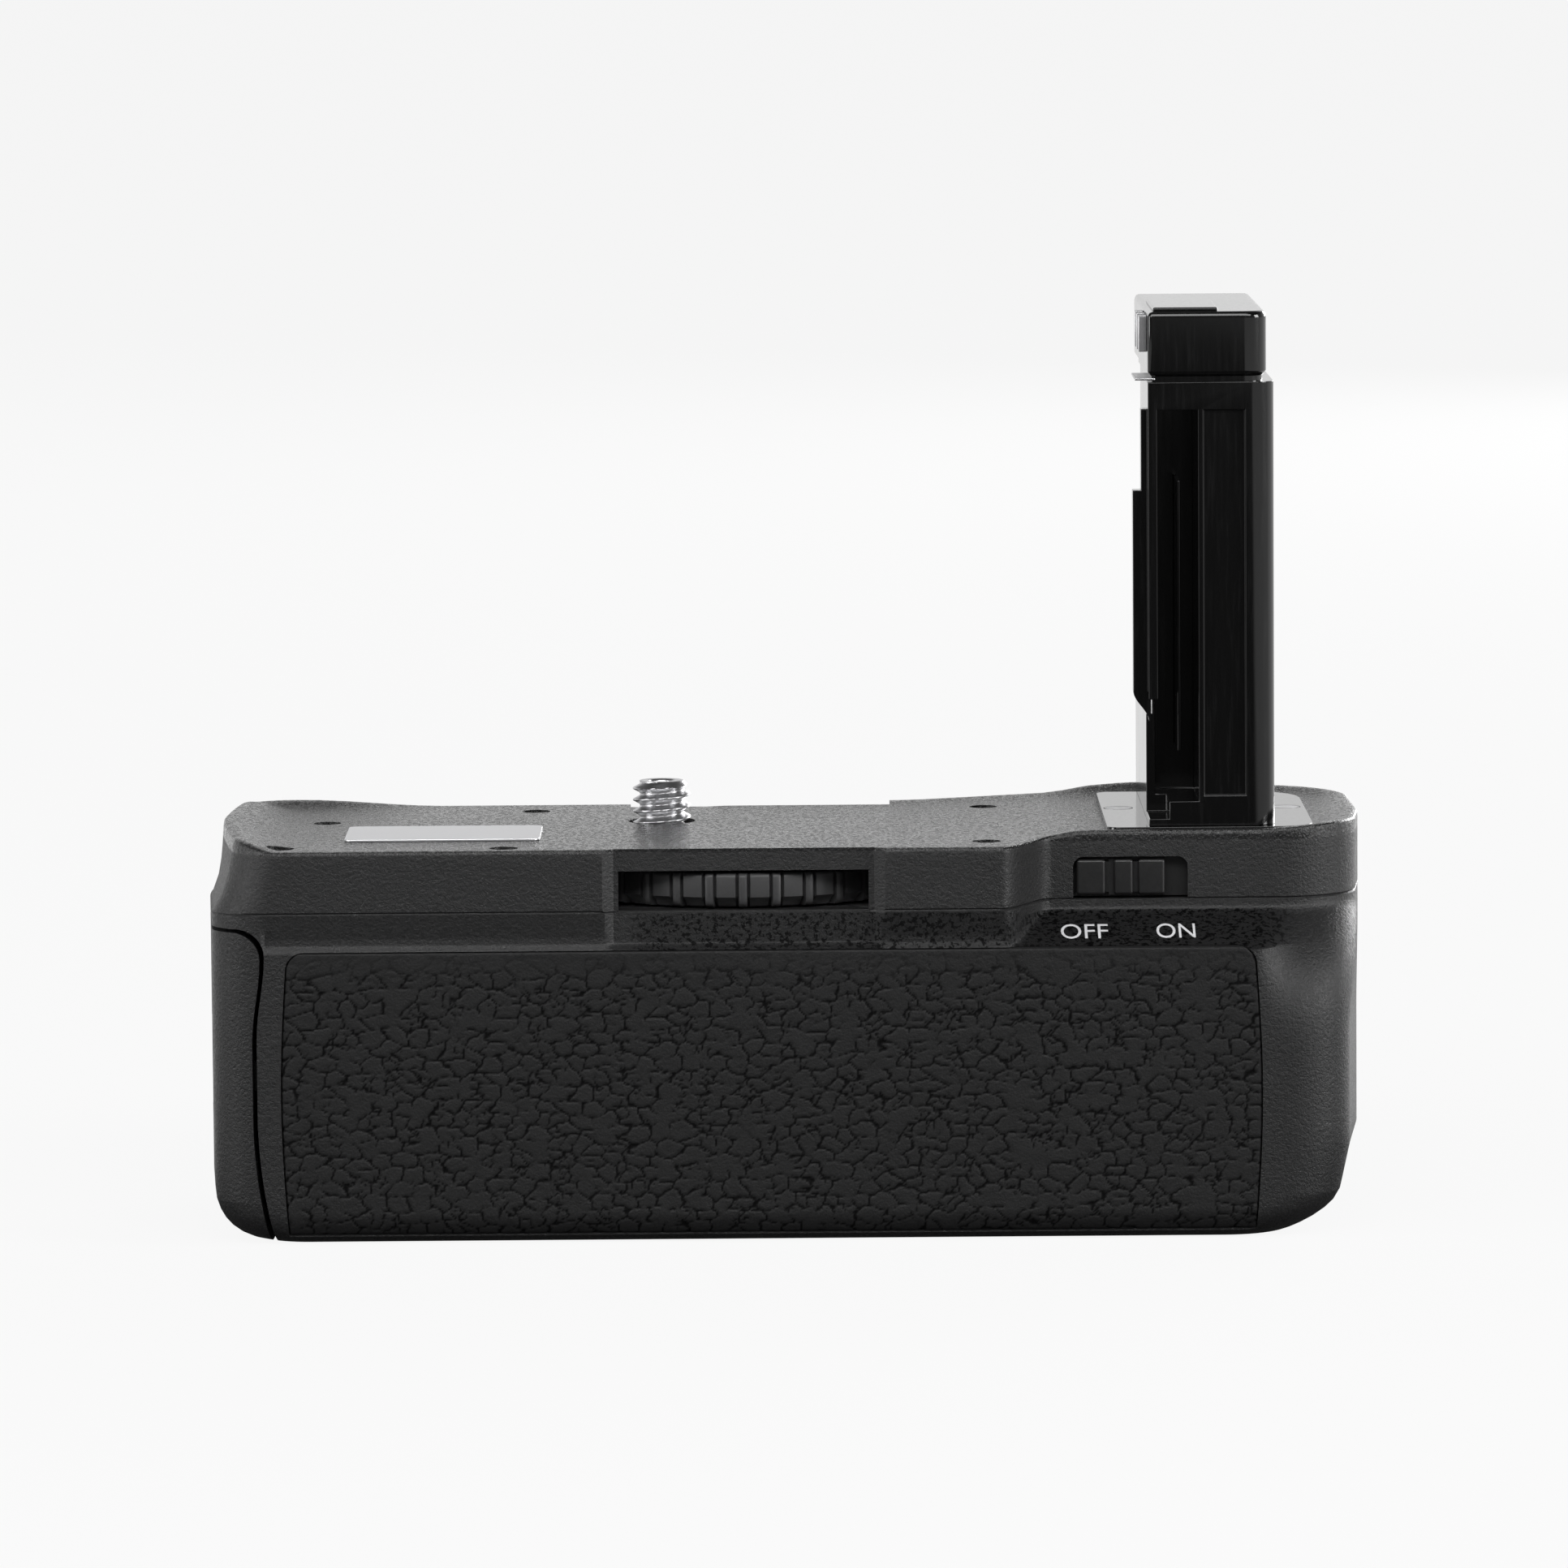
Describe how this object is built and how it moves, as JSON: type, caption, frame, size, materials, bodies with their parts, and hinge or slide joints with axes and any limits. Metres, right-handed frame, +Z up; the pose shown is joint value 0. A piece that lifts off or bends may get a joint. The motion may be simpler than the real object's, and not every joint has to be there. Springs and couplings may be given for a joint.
{
  "type": "camera battery grip",
  "caption": "Camera battery grip with a dummy-battery post, camera screw turned by a geared thumbwheel, power slider, release button and a hinged door over stacked battery slots.",
  "frame": {"origin": "middle of the base, on the surface that the grip stands on", "axes": "+X to the right seen from the rear, where the thumbwheel and the switch are; +Y towards the front; +Z up along the post"},
  "size_m": [0.126, 0.056, 0.0997],
  "materials": {
    "shell": "fine spark-eroded texture",
    "rubber": "leather-grained",
    "gloss": "polished black",
    "steel": "turned",
    "brass": "plain",
    "board": "circuit board",
    "label": "satin"
  },
  "bodies": {
    "body": {"lower_housing": "shell", "top_cover": "shell", "rear_rubber_grip": "rubber", "front_rubber_grip": "rubber", "top_cover_screws": "steel", "name_plate": "label", "door_hinge_pin": "steel", "latch_keeper": "steel", "battery_chamber": "gloss", "battery_contacts": "brass", "contact_board": "board", "main_board": "board", "board_screws": "steel", "slide_switch": "steel", "wheel_axle": "steel", "gear_carrier": "steel", "carrier_screws": "steel", "screw_bush": "steel", "tripod_socket": "steel", "post_flange": "gloss", "post_body": "gloss", "post_cap": "gloss", "post_contacts": "brass", "post_screws": "steel", "shutter_barrel": "shell", "shutter_spring": "steel", "shutter_switch": "steel", "remote_jack": "gloss"},
    "wheel": {"thumbwheel": "shell"},
    "screw": {"camera_screw": "steel", "screw_gear": "brass"},
    "knob": {"switch_knob": "gloss"},
    "door": {"battery_door": "shell", "door_pad": "rubber", "latch_spring": "steel"},
    "latch": {"door_latch": "gloss"},
    "button": {"shutter_button": "gloss"}
  },
  "joints": [
    {"name": "wheel_spin", "type": "hinge", "parent": "body", "child": "wheel", "pos_m": [-0.0045, -0.007, 0.038], "axis": [0, 0, 1], "continuous": true},
    {"name": "screw_spin", "type": "hinge", "parent": "body", "child": "screw", "pos_m": [-0.0135, 0.00094, 0.04], "axis": [0, 0, 1], "continuous": true},
    {"name": "switch_slide", "type": "slide", "parent": "body", "child": "knob", "axis": [1, 0, 0], "range_m": [0, 0.0022]},
    {"name": "door_swing", "type": "hinge", "parent": "body", "child": "door", "pos_m": [-0.0574, 0.0195, 0.017], "axis": [0, 0, -1], "range_deg": [0, 95], "deforming": ["latch_keeper"]},
    {"name": "latch_slide", "type": "slide", "parent": "door", "child": "latch", "axis": [0, 1, 0], "range_m": [0, 0.0025], "stiffness_N_per_m": 300, "deforming": ["latch_spring"]},
    {"name": "shutter_press", "type": "slide", "parent": "body", "child": "button", "axis": [-0.7682, 0, 0.6402], "range_m": [0, 0.001], "stiffness_N_per_m": 500, "deforming": ["shutter_spring"]}
  ],
  "couplings": [
    {"joint": "screw_spin", "follows": "wheel_spin", "ratio": -1.4615}
  ]
}
